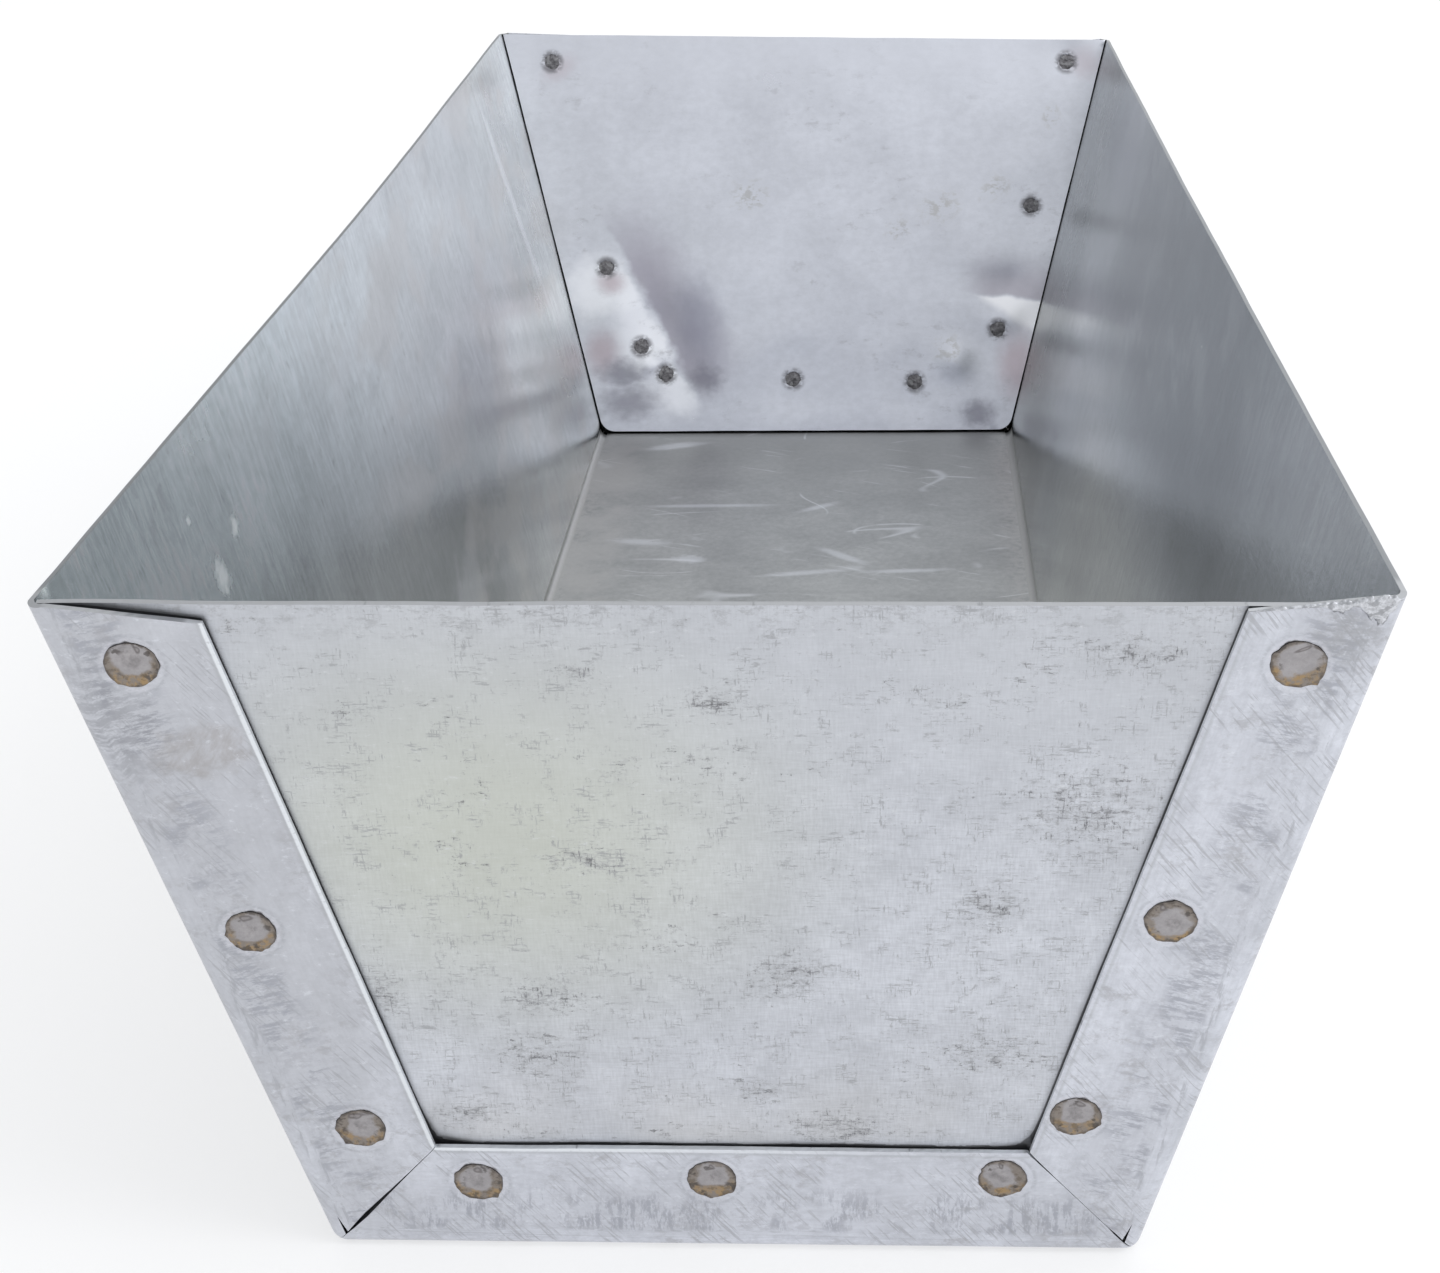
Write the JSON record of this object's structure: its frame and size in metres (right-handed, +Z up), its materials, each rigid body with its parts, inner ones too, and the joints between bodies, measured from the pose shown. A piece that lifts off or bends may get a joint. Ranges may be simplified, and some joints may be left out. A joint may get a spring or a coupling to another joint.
{
  "type": "feed trough",
  "caption": "Small open-topped sheet-steel trough with leaning walls, flat end panels behind folded flanges, and spot welds.",
  "frame": {"origin": "on the ground under the middle of the trough, in the plane of the floor's underside", "axes": "+Y along the length towards the rear end, +X to the right seen from the front end, +Z up"},
  "size_m": [0.2, 0.56, 0.128],
  "materials": {
    "body_zinc": "bare galvanised sheet, dull silver grey, scratched along the folds",
    "panel_zinc": "bare galvanised sheet, pale silver with fine crossed scratches and small dark specks",
    "weld_mark": "spot-weld mark, dull grey-brown with a golden heat tint round its edge"
  },
  "bodies": {
    "root": {"body_sheet": "body_zinc", "front_end_panel": "panel_zinc", "rear_end_panel": "panel_zinc", "spot_weld_front_left_upper": "weld_mark", "spot_weld_front_left_middle": "weld_mark", "spot_weld_front_left_lower": "weld_mark", "spot_weld_front_bottom_left": "weld_mark", "spot_weld_front_bottom_centre": "weld_mark", "spot_weld_front_bottom_right": "weld_mark", "spot_weld_front_right_upper": "weld_mark", "spot_weld_front_right_middle": "weld_mark", "spot_weld_front_right_lower": "weld_mark", "spot_weld_rear_left_upper": "weld_mark", "spot_weld_rear_left_middle": "weld_mark", "spot_weld_rear_left_lower": "weld_mark", "spot_weld_rear_bottom_left": "weld_mark", "spot_weld_rear_bottom_centre": "weld_mark", "spot_weld_rear_bottom_right": "weld_mark", "spot_weld_rear_right_upper": "weld_mark", "spot_weld_rear_right_middle": "weld_mark", "spot_weld_rear_right_lower": "weld_mark"}
  },
  "joints": []
}
